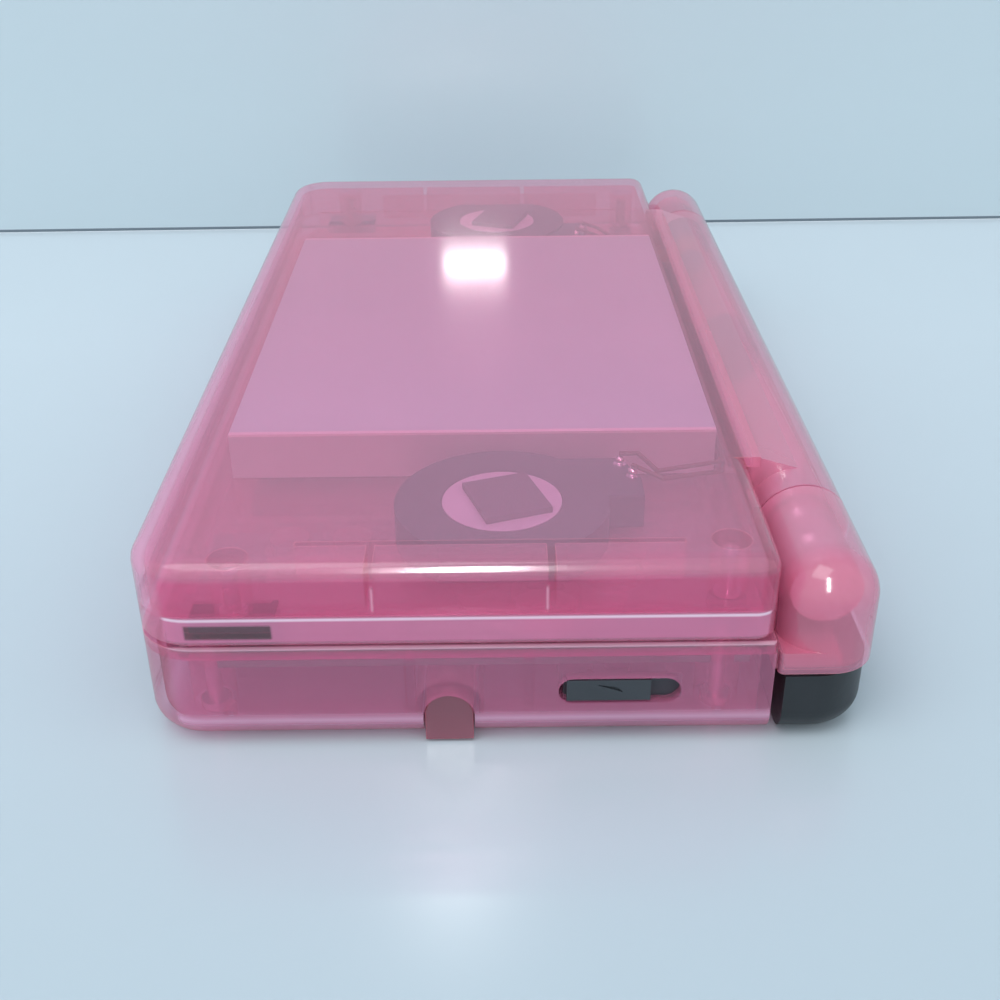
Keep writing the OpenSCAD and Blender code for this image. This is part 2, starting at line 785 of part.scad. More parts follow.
module pivot_post() {
    difference() {
        union() {
            post(pivot_x, pivot_y, floor_top - e, arm_z0 - 0.15, eye_r);
            box(pivot_x - 0.6, pivot_x + 0.6, pivot_y, rear_y - wall + e, floor_top - e,
                arm_z0 - 0.15);
        }
        post(pivot_x, pivot_y, floor_top + 0.3, arm_z1, pin_r + 0.02);
    }
}

foot_l = 9;
foot_w = 4;
foot_x = half_w - 21.5;
foot_y = front_y + 5.5;
foot_sink = 0.6;
moulded_foot_x = 37.5;
module foot_block(gap, z0) {
    box(foot_x - foot_l / 2 + gap, foot_x + foot_l / 2 - gap, foot_y - foot_w / 2 + gap,
        foot_y + foot_w / 2 - gap, z0, floor_z + foot_sink);
}

module moulded_foot() {
    box(moulded_foot_x - foot_l / 2, moulded_foot_x + foot_l / 2, shell_rear + 1.5, shell_rear + 4.5,
        0, floor_z + e);
}

// Upright ribs inside the right side wall: tall beside the stylus, low near the ends
side_rib_t = 1;
function tall_rib_y() = [silo_y - 4.4, silo_y + 7.6];
function low_rib_y() = [front_y + 8, shell_rear - 5.35];
module side_ribs() {
    for (y = tall_rib_y())
        box(half_w - 3, half_w - wall + e, y, y + side_rib_t, floor_top + 1.5, deck_z - lip_h - 0.2);
    for (y = low_rib_y())
        box(half_w - 3, half_w - wall + e, y, y + side_rib_t, floor_top - e, floor_top + 2);
}

module cradle() {
    difference() {
        union() {
            box(-barrel_x, barrel_x, shell_rear - wall, axis_y - 2, cradle_z, base_h);
            box(-barrel_x, barrel_x, axis_y - 2, rear_y, cradle_z, split_z - 1);
        }
        rod_x(-half_w, half_w, axis_y, axis_z, cradle_r);
    }
}

module base_top_case() {
    color([0.92, 0.5, 0.68, 0.45]) {
        knuckle(unit_r + running_gap);
        mirror([1, 0, 0]) knuckle(barrel_bore);
        difference() {
            union() {
                slab(-half_w, half_w, front_y, shell_rear, deck_z, base_h, corner_r, 0.6);
                cradle();
                both_sides() box(knuckle_x, half_w - 1, shell_rear + 0.02, axis_y - hinge_r + e,
                    knuckle_skirt_z, split_z);
                both_sides() box(knuckle_x, half_w - knuckle_round, shell_rear - e,
                    axis_y - hinge_r + e, split_z, base_h);
                for (p = screw_xy)
                    if (p[1] < shell_rear) post(p[0], p[1], board_z, deck_z + e, screw_boss_r - 0.3);
            }
            for (p = screw_xy) post(p[0], p[1], board_z - 1, base_h - 1.4, screw_r + 0.05);
            control_openings();
        }
        lip();
    }
}

// Locating lip that drops inside the bottom case
lip_h = 1;
module lip() {
    difference() {
        slab(-half_w + wall + 0.15, half_w - wall - 0.15, front_y + wall + 0.15, shell_rear - wall,
            deck_z - lip_h, deck_z + e, corner_r - wall - 0.15, 1);
        slab(-half_w + wall + 1, half_w - wall - 1, front_y + wall + 1, shell_rear - wall - 1,
            deck_z - lip_h - 1, deck_z + 1, corner_r - wall - 1, 0.6);
    }
}

module control_openings() {
    box(-screen_w / 2, screen_w / 2, screen_y - screen_d / 2, screen_y + screen_d / 2,
        deck_z - 1, base_h + 1);
    translate([-pad_x, pad_y, deck_z - 1]) linear_extrude(deck_t + 2) cross_plan(button_gap);
    for (p = button_xy()) post(p[0], p[1], deck_z - 1, base_h + 1, button_r + button_gap);
    for (y = [start_y, select_y]) post(key_x, y, deck_z - 1, base_h + 1, key_r + button_gap);
    for (p = led_xy) post(p[0], p[1], deck_z - 2, base_h + 1, led_r + 0.05);
}

module battery_cover() {
    g = 0.15;
    color([0.92, 0.55, 0.72, 0.45]) difference() {
        box(bay_x0 + g, bay_x1 - g, bay_y0 + g, bay_y1 - g, floor_z, floor_top);
        post(cover_screw_x, cover_screw_y, -1, floor_top + 1, screw_r + 0.05);
        post(cover_screw_x, cover_screw_y, -1, floor_z + 0.6, screw_head_r + 0.1);
    }
}

cover_screw_x = (bay_x0 + bay_x1) / 2;
cover_screw_y = bay_y1 - 2;

module battery() {
    color([0.2, 0.2, 0.22]) difference() {
        box(bay_x0 + bay_gap, bay_x1 - bay_gap, bay_y0 + bay_gap, bay_y1 - bay_gap,
            floor_top + 0.1, floor_top + 0.1 + battery_t);
        post(cover_screw_x, cover_screw_y, 0, floor_top + 3.2, 1.6);
    }
}

// Three leaf contacts that reach through the bay's rear wall
contact_pitch = 3;
contact_w = 1.4;
contact_t = 0.3;
contact_z = floor_top + 1.5;
module battery_contacts() {
    color([0.85, 0.75, 0.5]) for (i = [-1:1]) translate([bay_x0 + 9 + i * contact_pitch, 0, 0]) {
        box(-contact_w / 2, contact_w / 2, bay_y1 - bay_gap + 0.03, bay_y1 + bay_wall + 0.5,
            contact_z, contact_z + contact_t);
        box(-contact_w / 2, contact_w / 2, bay_y1 + bay_wall + 0.5 - contact_t,
            bay_y1 + bay_wall + 0.5, contact_z, board_z - 0.02);
    }
}

module battery_screw() {
    color([0.6, 0.6, 0.62]) {
        post(cover_screw_x, cover_screw_y, floor_z + 0.1, floor_z + 0.6, screw_head_r);
        post(cover_screw_x, cover_screw_y, floor_z + 0.6, floor_top + 2.6, screw_r);
    }
}

module case_screws() {
    color([0.6, 0.6, 0.62]) for (p = screw_xy) {
        post(p[0], p[1], floor_top - 0.5, floor_top + 0.5, screw_head_r);
        post(p[0], p[1], floor_top + 0.5,
            p[1] < shell_rear ? board_top + 1.5 : axis_z - cradle_r - 0.1, screw_r);
    }
}

module rubber_feet() {
    color([0.25, 0.25, 0.27]) both_sides() foot_block(0.05, 0);
}

// ---- inside the base ----

module main_board() {
    color([0.1, 0.35, 0.2]) difference() {
        box(-half_w + 3.4, half_w - 3.4, front_y + 2.8, shell_rear - wall - 0.6, board_z, board_top);
        box(cartridge_x0 - 0.6, cartridge_x0 + cartridge_w + 0.6, front_y, front_y + 26.5, 0, base_h);
        for (p = screw_xy) post(p[0], p[1], 0, base_h, screw_boss_r + 0.2);
        both_sides() translate([half_w - 3.4, front_y + 2.8, 0]) rotate(45)
            cube([5, 5, 3 * base_h], center = true);
    }
}

// Chips under the board: the processor, its memory and two smaller ones
chip_t = 1;
processor = 11;
memory_w = 7;
small_chip = 5.5;
module chip(x, y, w, d) {
    box(x - w / 2, x + w / 2, y - d / 2, y + d / 2, board_z - chip_t, board_z - 0.02);
}

module board_chips() {
    color([0.15, 0.15, 0.16]) {
        chip(screen_w / 2 - 3.5, processor / 2, processor, processor);
        chip(pad_x - 10.5, memory_w / 2, memory_w, memory_w);
        chip(pad_x - 11, memory_w / 2 + 14, small_chip, small_chip);
        chip(pad_x + 1, small_chip / 2 - 1, small_chip, small_chip);
    }
}

wireless_w = 12;
wireless_d = 11;
wireless_t = 1;
wireless_y = 15.5;
wireless_z = board_z - 0.7 - wireless_t;
module wireless_board() {
    color([0.15, 0.3, 0.5])
        box(pad_x + 2 - wireless_w / 2, pad_x + 2 + wireless_w / 2, wireless_y - wireless_d / 2,
            wireless_y + wireless_d / 2, wireless_z, wireless_z + wireless_t);
}

module game_card_socket() {
    y = rear_y - wall - card_depth;
    color([0.65, 0.66, 0.68]) translate([card_x, 0, 0]) difference() {
        box(-card_w / 2 - socket_wall, card_w / 2 + socket_wall, y, rear_y - wall - 0.5,
            card_z - socket_wall, card_z + card_h + 0.5);
        box(-card_w / 2, card_w / 2, y + 2, rear_y, card_z, card_z + card_h);
    }
}

module cartridge_socket() {
    y = front_y + cartridge_depth;
    color([0.18, 0.18, 0.2]) difference() {
        box(cartridge_x0 + 1, cartridge_x0 + cartridge_w - 1, y, y + 4.6, cartridge_z, board_z + 0.6);
        box(cartridge_x0 + 3, cartridge_x0 + cartridge_w - 3, y - 1, y + 3,
            cartridge_z + 1.6, cartridge_z + 3.6);
    }
}

// Dust cover: a faceplate that follows the front wall, with a U-shaped frame behind it
module cartridge_slot_cover() {
    g = cartridge_gap;
    x0 = cartridge_x0 + g;
    x1 = cartridge_x0 + cartridge_w - g;
    z0 = cartridge_z + g;
    z1 = cartridge_z + cartridge_h - g;
    color([0.92, 0.55, 0.72, 0.45]) {
        intersection() {
            box(x0, x1, front_y - 1, front_y + 2.2, z0, z1);
            base_form(0);
        }
        difference() {
            box(x0, x1, front_y + 2.2 - e, front_y + cartridge_depth - 1, z0 + 1.2, z1 - 0.4);
            box(x0 + 2.4, x1 - 2.4, front_y, front_y + cartridge_depth - 3.5, 0, base_h);
            box(x0 + 2.4, x1 - 2.4, front_y + 8, front_y + cartridge_depth, z0 + 3, base_h);
        }
    }
}

touch_t = 0.7;
lower_panel_t = 1.5;
module lower_display_panel() {
    color([0.12, 0.12, 0.16])
        box(-panel_w / 2, panel_w / 2, panel_y0, panel_y1, board_top + 0.05,
            board_top + 0.05 + lower_panel_t);
}

module touch_panel() {
    color([0.8, 0.82, 0.86, 0.4])
        box(-panel_w / 2, panel_w / 2, panel_y0, panel_y1, board_top + lower_panel_t + 0.1,
            board_top + lower_panel_t + 0.1 + touch_t);
}

// ---- controls ----

membrane_t = 0.3;
membrane_z = board_top + 0.02;
dome_h = 1.5;
button_z = membrane_z + dome_h + 0.05;
button_flange_r = button_r + 0.6;
flange_t = 0.6;
flange_z = deck_z - flange_t - 0.05;

module cross_plan(grow) {
    h = cross_r + grow;
    a = cross_arm / 2 + grow;
    square([2 * h, 2 * a], center = true);
    square([2 * a, 2 * h], center = true);
}

module direction_pad() {
    color([0.85, 0.5, 0.65]) translate([-pad_x, pad_y, 0]) {
        difference() {
            translate([0, 0, flange_z]) linear_extrude(key_top - flange_z) cross_plan(0);
            translate([0, 0, key_top + 3.7]) sphere(r = 4.2);
        }
        translate([0, 0, flange_z]) cylinder(r = cross_r - 1, h = flange_t);
        translate([0, 0, button_z]) cylinder(r = 1.2, h = flange_z - button_z + e);
    }
}

module direction_pad_membrane() {
    color([0.75, 0.75, 0.78]) translate([-pad_x, pad_y, 0]) {
        translate([0, 0, membrane_z]) cylinder(r = cross_r - 0.5, h = membrane_t);
        for (a = [45:90:315]) rotate(a) translate([5.6, 0, membrane_z])
            cylinder(r1 = 1.9, r2 = 1.5, h = dome_h);
    }
}

module action_button(i) {
    p = button_xy()[i];
    color([0.88, 0.55, 0.7]) {
        difference() {
            post(p[0], p[1], flange_z, key_top, button_r);
            translate([p[0], p[1], key_top + 14.85]) sphere(r = 15);
        }
        post(p[0], p[1], flange_z, flange_z + flange_t, button_flange_r - 0.2);
        post(p[0], p[1], button_z, flange_z + e, 1.6);
    }
}

module button_rear() {
    action_button(0);
}

module button_right() {
    action_button(1);
}

module button_front() {
    action_button(2);
}

module button_left() {
    action_button(3);
}

module action_button_membrane() {
    color([0.75, 0.75, 0.78]) {
        translate([pad_x, pad_y, membrane_z]) cylinder(r = button_pitch + 2, h = membrane_t);
        for (p = button_xy()) translate([p[0], p[1], membrane_z])
            cylinder(r1 = 2.3, r2 = 1.8, h = dome_h);
    }
}

module small_key(y) {
    color([0.88, 0.55, 0.7]) {
        post(key_x, y, flange_z, key_top - 0.2, key_r);
        post(key_x, y, flange_z, flange_z + flange_t, key_r + 0.7);
        post(key_x, y, button_z, flange_z + e, 1.1);
    }
}

module start_button() {
    small_key(start_y);
}

module select_button() {
    small_key(select_y);
}

module start_select_membrane() {
    color([0.75, 0.75, 0.78]) {
        box(key_x - 2.6, key_x + 2.6, select_y - 2.6, start_y + 2.6,
            membrane_z, membrane_z + membrane_t);
        for (y = [start_y, select_y]) translate([key_x, y, membrane_z])
            cylinder(r1 = 1.8, r2 = 1.4, h = dome_h);
    }
}

module power_slider() {
    g = 0.25;
    color([0.3, 0.33, 0.35]) {
        difference() {
            box(half_w - wall - 0.2, half_w - 0.1, power_knob_y0 + 0.1, power_knob_y1,
                power_z0 + g, power_z1 - g);
            translate([half_w - 0.35, (power_knob_y0 + power_knob_y1) / 2 + 0.2,
                (power_z0 + power_z1) / 2 + 0.2])
                rotate([90, 0, 90]) linear_extrude(1) polygon([[-1.5, 0.5], [1.3, -0.45], [0.7, 0.2]]);
        }
        box(half_w - wall - 0.8, half_w - wall - 0.2 + e, power_knob_y0 - 0.2, power_y1 + 0.3,
            power_z0 - 0.4, power_z1 - 0.8);
        box(half_w - 5.1, half_w - wall - 0.8 + e, power_knob_y0 + 3, power_knob_y0 + 4.2,
            power_z0 + 0.4, power_z0 + 1.6);
    }
}

module power_switch() {
    color([0.7, 0.7, 0.72]) difference() {
        box(half_w - 8, half_w - 4, power_knob_y0 - 0.5, power_knob_y1 + 2, power_z0 - 0.6,
            board_z - 0.02);
        box(half_w - 5.6, half_w - 3, power_knob_y0 + 2.4, power_knob_y0 + 4.8 + power_travel,
            power_z0 + 0.1, power_z0 + 1.9);
    }
}

module volume_slider() {
    g = 0.25;
    color([0.3, 0.33, 0.35]) {
        box(volume_x - volume_knob_w / 2, volume_x + volume_knob_w / 2, front_y + 0.05,
            front_y + wall + 0.3, volume_z0 + g, volume_z0 + volume_h - g);
        box(volume_x - 0.8, volume_x + 0.8, front_y + wall + 0.3 - e, front_y + 4.4,
            volume_z0 + 0.7, volume_z0 + 1.7);
    }
}

module volume_control() {
    color([0.7, 0.7, 0.72]) difference() {
        box(volume_x - 6, volume_x + 6, front_y + 3.2, front_y + 6.4, volume_z0 - 0.4, board_z - 0.02);
        box(volume_x - 4.2, volume_x + 4.2, front_y + 3, front_y + 4.9, volume_z0 + 0.4, volume_z0 + 2);
    }
}

module headphone_jack() {
    color([0.12, 0.12, 0.13]) difference() {
        union() {
            rod_y(jack_x, front_y + 0.2, front_y + 2.6, jack_z, jack_r + 1);
            box(jack_x - 3, jack_x + 3, front_y + wall + 0.2, front_y + 13.5, jack_z - 2.2,
                board_z - 0.02);
        }
        rod_y(jack_x, front_y - 1, front_y + 12.5, jack_z, jack_r);
    }
}

module charging_port() {
    color([0.7, 0.7, 0.72]) difference() {
        box(port_x - port_w / 2 + 0.1, port_x + port_w / 2 - 0.1, rear_y - 8, rear_y - 0.3,
            port_z + 0.1, port_z + port_h - 0.1);
        box(port_x - port_w / 2 + 0.6, port_x + port_w / 2 - 0.6, rear_y - 7, rear_y,
            port_z + 0.6, port_z + port_h - 0.6);
    }
}

// ---- shoulder buttons ----

button_front_y = shell_rear + pocket_gap;
button_top_z = knuckle_skirt_z - 0.3;
module shoulder_button() {
    color([0.12, 0.13, 0.14]) {
        intersection() {
            base_form(0);
            box(knuckle_x + 0.3, half_w, button_front_y, rear_y, 0, button_top_z);
        }
        box(knuckle_x + tongue_x0, half_w - tongue_end, tongue_y0, tongue_y1, button_top_z - e,
            tongue_top);
        difference() {
            union() {
                box(pivot_x, knuckle_x + 0.3 + e, pivot_y - 1, pivot_y + 1, arm_z0, arm_z1);
                post(pivot_x, pivot_y, arm_z0, arm_z1, eye_r);
            }
            post(pivot_x, pivot_y, 0, base_h, pin_r + running_gap);
        }
    }
}

module shoulder_button_right() {
    shoulder_button();
}

module shoulder_button_left() {
    mirror([1, 0, 0]) shoulder_button();
}

module shoulder_pins() {
    color([0.75, 0.75, 0.78]) both_sides()
        post(pivot_x, pivot_y, floor_top + 0.35, cradle_z - 0.05, pin_r);
}

module shoulder_springs() {
    color([0.75, 0.75, 0.78]) both_sides() for (i = [0:2])
        translate([pivot_x, pivot_y, arm_z1 + 0.5 + i * 0.5]) rotate_extrude()
            translate([1.3, 0]) circle(0.22);
}

module shoulder_switches() {
    color([0.7, 0.7, 0.72]) both_sides()
        box(knuckle_x + 3, knuckle_x + 7, shell_rear + 0.02, shell_rear + 0.4, arm_z0, arm_z1);
}

// The stylus ends in a head with a round top and straight sides that fills the silo's mouth
tip_l = 6;
head_inset = 0.3;
module stylus() {
    tip_x = half_w - stylus_len + tip_l;
    color([0.9, 0.5, 0.62]) {
        rod_x(tip_x, half_w - head_inset, silo_y, silo_z, stylus_d / 2);
        translate([tip_x, silo_y, silo_z]) rotate([0, -90, 0])
            cylinder(r1 = stylus_d / 2, r2 = 0.8, h = tip_l);
        box(half_w - head_l, half_w - head_inset, silo_y - stylus_d / 2 + 0.02,
            silo_y + stylus_d / 2 - 0.02, floor_z, silo_z);
    }
}

module indicator_light_pipes() {
    color([0.9, 0.9, 0.95, 0.6]) for (p = led_xy)
        post(p[0], p[1], board_top + 0.1, base_h, led_r);
}

module strap_bar() {
    color([0.75, 0.75, 0.78])
        rod_x(strap_x - strap_w / 2, strap_x + strap_w / 2, rear_y - wall / 2 - 0.2,
            (strap_z0 + strap_z1) / 2, 0.6);
}

lid_outer_cover();
lid_inner_frame();
upper_display_window();
upper_display_panel();
upper_backlight();
upper_display_shield();
speaker_holder_right();
speaker_holder_left();
speaker_right();
speaker_left();
speaker_pads();
speaker_terminals();
speaker_wires();
microphone();
lid_bumpers();
lid_screws();
display_ribbon();
hinge_cam();
hinge_unit_body();
hinge_bush();
base_top_case();
base_bottom_case();
battery_cover();
battery();
battery_contacts();
battery_screw();
case_screws();
rubber_feet();
main_board();
board_chips();
wireless_board();
game_card_socket();
cartridge_socket();
cartridge_slot_cover();
lower_display_panel();
touch_panel();
direction_pad();
direction_pad_membrane();
button_rear();
button_right();
button_front();
button_left();
action_button_membrane();
start_button();
select_button();
start_select_membrane();
power_slider();
power_switch();
volume_slider();
volume_control();
headphone_jack();
charging_port();
shoulder_button_right();
shoulder_button_left();
shoulder_pins();
shoulder_springs();
shoulder_switches();
stylus();
indicator_light_pipes();
strap_bar();
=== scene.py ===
"""Looks of the clear-shelled clamshell console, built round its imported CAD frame.

Metres, in the same frame as the CAD: +X points to the user's right and at the camera, +Y to the
hinge, +Z up. The places that material masks name are in millimetres.
"""

import json
import math

import bpy
from mathutils import Matrix, Vector

MM = 0.001

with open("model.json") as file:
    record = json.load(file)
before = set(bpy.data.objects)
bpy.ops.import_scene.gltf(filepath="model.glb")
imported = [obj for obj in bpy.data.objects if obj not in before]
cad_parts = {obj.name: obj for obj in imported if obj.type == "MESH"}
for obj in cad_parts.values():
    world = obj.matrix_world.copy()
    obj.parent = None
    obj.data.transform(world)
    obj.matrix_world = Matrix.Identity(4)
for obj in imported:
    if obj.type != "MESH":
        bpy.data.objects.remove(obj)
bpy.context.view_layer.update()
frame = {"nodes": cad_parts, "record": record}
nodes = frame["nodes"]


# ---- camera: the viewing angle of the photograph ----

CAMERA_AT = Vector((168.15, -0.94, 85.84)) * MM
YAW = math.radians(179.84)
PITCH = math.radians(-29.47)
ROLL = math.radians(-0.57)
LENS = 46.1
SENSOR = 36
CLIP_NEAR = 0.01
CLIP_FAR = 20


def add_camera():
    forward = Vector(
        (
            math.cos(PITCH) * math.cos(YAW),
            math.cos(PITCH) * math.sin(YAW),
            math.sin(PITCH),
        )
    )
    right = forward.cross(Vector((0, 0, 1))).normalized()
    up = right.cross(forward)
    across = right * math.cos(ROLL) + up * math.sin(ROLL)
    upward = up * math.cos(ROLL) - right * math.sin(ROLL)
    turn = Matrix((across, upward, -forward)).transposed()
    data = bpy.data.cameras.new("camera")
    data.lens = LENS
    data.sensor_width = SENSOR
    data.clip_start = CLIP_NEAR
    data.clip_end = CLIP_FAR
    camera = bpy.data.objects.new("camera", data)
    camera.matrix_world = Matrix.Translation(CAMERA_AT) @ turn.to_4x4()
    bpy.context.scene.collection.objects.link(camera)
    bpy.context.scene.camera = camera


# ---- node helpers ----

NOISE_SPAN = (0.3, 0.7)  # where most of a noise's values lie
NOISE_ROUGH = 0.6
EDGE_TURN = (0.97, 0.80)  # cosine between true and rounded normal: 0 to 1 along an edge
SOFT = 0.15  # mm over which the border of a band fades, to either side


class Nodes:
    """Builds one node material."""

    def __init__(self, name):
        self.material = bpy.data.materials.new(name)
        self.material.use_nodes = True
        self.tree = self.material.node_tree
        self.tree.nodes.clear()
        self.out = self.add("ShaderNodeOutputMaterial")
        self.coords = self.add("ShaderNodeTexCoord").outputs["Object"]
        self.axes = self.add("ShaderNodeSeparateXYZ")
        self.put(self.coords, self.axes.inputs[0])

    def add(self, kind, **values):
        node = self.tree.nodes.new(kind)
        for key, value in values.items():
            setattr(node, key, value)
        return node

    def put(self, value, target):
        """Links a socket to target, or sets target where value is a number or a colour."""
        if isinstance(value, bpy.types.NodeSocket):
            self.tree.links.new(value, target)
        elif isinstance(value, tuple):
            target.default_value = (*value, 1)
        else:
            target.default_value = value

    def noise(self, scale, detail=4.0):
        node = self.add("ShaderNodeTexNoise")
        self.put(self.coords, node.inputs["Vector"])
        self.put(scale, node.inputs["Scale"])
        self.put(detail, node.inputs["Detail"])
        self.put(NOISE_ROUGH, node.inputs["Roughness"])
        return node.outputs["Fac"]

    def ramp(self, source, low, high, span=NOISE_SPAN):
        """Colour low up to the start of the span and colour high from its end."""
        node = self.add("ShaderNodeValToRGB")
        self.put(source, node.inputs["Fac"])
        for element, place, colour in zip(node.color_ramp.elements, span, (low, high)):
            element.position = place
            element.color = (*colour, 1)
        return node.outputs["Color"]

    def remap(self, source, span, low, high):
        """Number low up to the start of the span and high from its end; a span may run down."""
        node = self.add("ShaderNodeMapRange")
        self.put(source, node.inputs["Value"])
        self.put(span[0], node.inputs["From Min"])
        self.put(span[1], node.inputs["From Max"])
        self.put(low, node.inputs["To Min"])
        self.put(high, node.inputs["To Max"])
        return node.outputs["Result"]

    def bump(self, source, height):
        node = self.add("ShaderNodeBump")
        self.put(source, node.inputs["Height"])
        self.put(height, node.inputs["Distance"])
        self.put(1.0, node.inputs["Strength"])
        return node.outputs["Normal"]

    def math(self, operation, a, b=0.0):
        node = self.add("ShaderNodeMath", operation=operation)
        self.put(a, node.inputs[0])
        self.put(b, node.inputs[1])
        return node.outputs[0]

    def blend(self, mask, a, b):
        """Colour a where the mask is 0, colour b where it is 1."""
        node = self.add("ShaderNodeMix", data_type="RGBA")
        self.put(mask, node.inputs[0])
        self.put(a, node.inputs[6])
        self.put(b, node.inputs[7])
        return node.outputs[2]

    def mix(self, mask, a, b):
        """Number a where the mask is 0, number b where it is 1."""
        node = self.add("ShaderNodeMix", data_type="FLOAT")
        self.put(mask, node.inputs[0])
        self.put(a, node.inputs[2])
        self.put(b, node.inputs[3])
        return node.outputs[0]

    def shaders(self, share, a, b):
        """Shader a with the given share of shader b in it."""
        node = self.add("ShaderNodeMixShader")
        self.put(share, node.inputs["Fac"])
        self.put(a, node.inputs[1])
        self.put(b, node.inputs[2])
        return node.outputs["Shader"]

    def behind(self):
        """1 on the back of a face and 0 on its front."""
        return self.add("ShaderNodeNewGeometry").outputs["Backfacing"]

    def axis(self, name, span, mirrored=False):
        """0 to 1 over a span of places along an axis, in mm; mirrored counts both sides alike."""
        source = self.axes.outputs[name]
        if mirrored:
            source = self.math("ABSOLUTE", source)
        return self.remap(source, (span[0] * MM, span[1] * MM), 0.0, 1.0)

    def band(self, name, span, soft=SOFT):
        """1 within a span of places along an axis and 0 outside it, in mm."""
        low, high = span
        rising = self.axis(name, (low - soft, low + soft))
        return self.both(rising, self.axis(name, (high + soft, high - soft)))

    def both(self, *masks):
        product = masks[0]
        for mask in masks[1:]:
            product = self.math("MULTIPLY", product, mask)
        return product

    def either(self, a, b):
        return self.math("MAXIMUM", a, b)

    def edges(self, radius):
        """1 along the sharp edges of the piece."""
        rounded = self.add("ShaderNodeBevel", samples=4)
        self.put(radius, rounded.inputs["Radius"])
        dot = self.add("ShaderNodeVectorMath", operation="DOT_PRODUCT")
        self.put(rounded.outputs["Normal"], dot.inputs[0])
        self.put(self.add("ShaderNodeNewGeometry").outputs["Normal"], dot.inputs[1])
        return self.remap(dot.outputs["Value"], EDGE_TURN, 0.0, 1.0)

    def finish(self, shader):
        self.put(shader, self.out.inputs["Surface"])
        return self.material


def shade(colour, factor):
    return tuple(min(1.0, c * factor) for c in colour)


# ---- kinds of material ----

COAT_ROUGH = 0.05
PLASTIC_ROUGH = 0.14
PLASTIC_IOR = 1.49
POLISH_IOR = 1.6
POLISH_BEHIND = 0.04  # share of the polish on the back of a face
EDGE_ON_BLEND = 0.35
TINT_SPAN = (0.35, 1.0)  # these three say how far a face turns edge on before it changes
GLOW_SPAN = (0.45, 1.0)
SHARE_SPAN = (0.4, 1.0)
EDGE_ON_GAIN = 2.5
# Width and share of the painted glow along sharp edges.
RIM_RADIUS = 0.22 * MM
RIM_SHARE = 0.5
MOTTLE = ((0.95, 0.95, 0.95), (1.0, 1.0, 1.0))


def solid(
    name, colour, rough, metal=0.0, vary=0.12, scale=120, grain=900, height=2e-5, coat=0.0
):
    """Opaque material with colour variation, uneven roughness and a fine grain."""
    n = Nodes(name)
    p = n.add("ShaderNodeBsdfPrincipled")
    tone = n.ramp(n.noise(scale), shade(colour, 1 - vary), shade(colour, 1 + vary))
    n.put(tone, p.inputs["Base Color"])
    uneven = n.remap(n.noise(scale * 2), NOISE_SPAN, rough * 0.85, min(1.0, rough * 1.15))
    n.put(uneven, p.inputs["Roughness"])
    n.put(n.bump(n.noise(grain, 2.0), height), p.inputs["Normal"])
    n.put(metal, p.inputs["Metallic"])
    n.put(coat, p.inputs["Coat Weight"])
    n.put(COAT_ROUGH, p.inputs["Coat Roughness"])
    return n.finish(p.outputs["BSDF"])


def clear(name, face, edge, body, glow, solidity, rim_glow=None, zones=()):
    """Tinted clear plastic.

    Most light goes through, tinted by face, or by edge where it is seen edge on. A share, the
    solidity, scatters in the plastic's own colour: body, or glow edge on. Sharp edges take the
    colour rim_glow, a painted glow standing in for light reflected inside the plastic, and the
    front of each face is polished. A zone is a mask with a scatter colour and share of its own,
    for thick places and for painted highlights along steps, seams and ribs.
    """
    n = Nodes(name)
    facing = n.add("ShaderNodeLayerWeight")
    n.put(EDGE_ON_BLEND, facing.inputs["Blend"])
    edge_on = facing.outputs["Facing"]
    through = n.add("ShaderNodeBsdfTransparent")
    n.put(n.ramp(edge_on, face, edge, TINT_SPAN), through.inputs["Color"])
    mottle = n.add("ShaderNodeMix", data_type="RGBA", blend_type="MULTIPLY")
    n.put(1.0, mottle.inputs[0])
    n.put(n.ramp(edge_on, body, glow, GLOW_SPAN), mottle.inputs[6])
    n.put(n.ramp(n.noise(60), *MOTTLE), mottle.inputs[7])
    colour = mottle.outputs[2]
    amount = n.remap(edge_on, SHARE_SPAN, solidity, min(1.0, solidity * EDGE_ON_GAIN))
    # Painted glow along sharp edges, standing in for light reflected inside the plastic.
    if rim_glow:
        sharp = n.edges(RIM_RADIUS)
        colour = n.blend(sharp, colour, rim_glow)
        amount = n.either(amount, n.math("MULTIPLY", sharp, RIM_SHARE))
    for mask, zone_colour, zone_share in zones:
        where = mask(n)
        colour = n.blend(where, colour, zone_colour)
        amount = n.mix(where, amount, zone_share)
    p = n.add("ShaderNodeBsdfPrincipled")
    n.put(colour, p.inputs["Base Color"])
    uneven = n.remap(n.noise(200), NOISE_SPAN, PLASTIC_ROUGH * 0.8, PLASTIC_ROUGH * 1.3)
    n.put(uneven, p.inputs["Roughness"])
    n.put(n.bump(n.noise(70, 1.0), 6e-6), p.inputs["Normal"])
    n.put(PLASTIC_IOR, p.inputs["IOR"])
    inner = n.shaders(amount, through.outputs["BSDF"], p.outputs["BSDF"])
    gloss = n.add("ShaderNodeBsdfGlossy")
    n.put(PLASTIC_ROUGH, gloss.inputs["Roughness"])
    fresnel = n.add("ShaderNodeFresnel")
    n.put(POLISH_IOR, fresnel.inputs["IOR"])
    polish = n.mix(n.behind(), fresnel.outputs["Fac"], POLISH_BEHIND)
    return n.finish(n.shaders(polish, inner, gloss.outputs["BSDF"]))


# ---- zones of the shells: places in mm, where a mask goes from 0 to 1 ----

END_WALL_X = (65.8, 66.1)
FRONT_WALL_Y = (-36.2, -36.6)
HINGE_Y = (26.0, 27.0)
HINGE_Z = (10.0, 11.4)
KNUCKLE_END_X = (60.5, 63.5)
KNUCKLE_END_Y = (26.4, 27.4)
KNUCKLE_END_Z = (8.0, 9.4)
FRONT_SLOPE_Y = (-33.6, -35.2)
FRONT_SLOPE_Z = (15.6, 16.0)
BASE_TOP_Z = (11.7, 11.4)
BASE_WALL_TOP_Z = (11.6, 11.3)

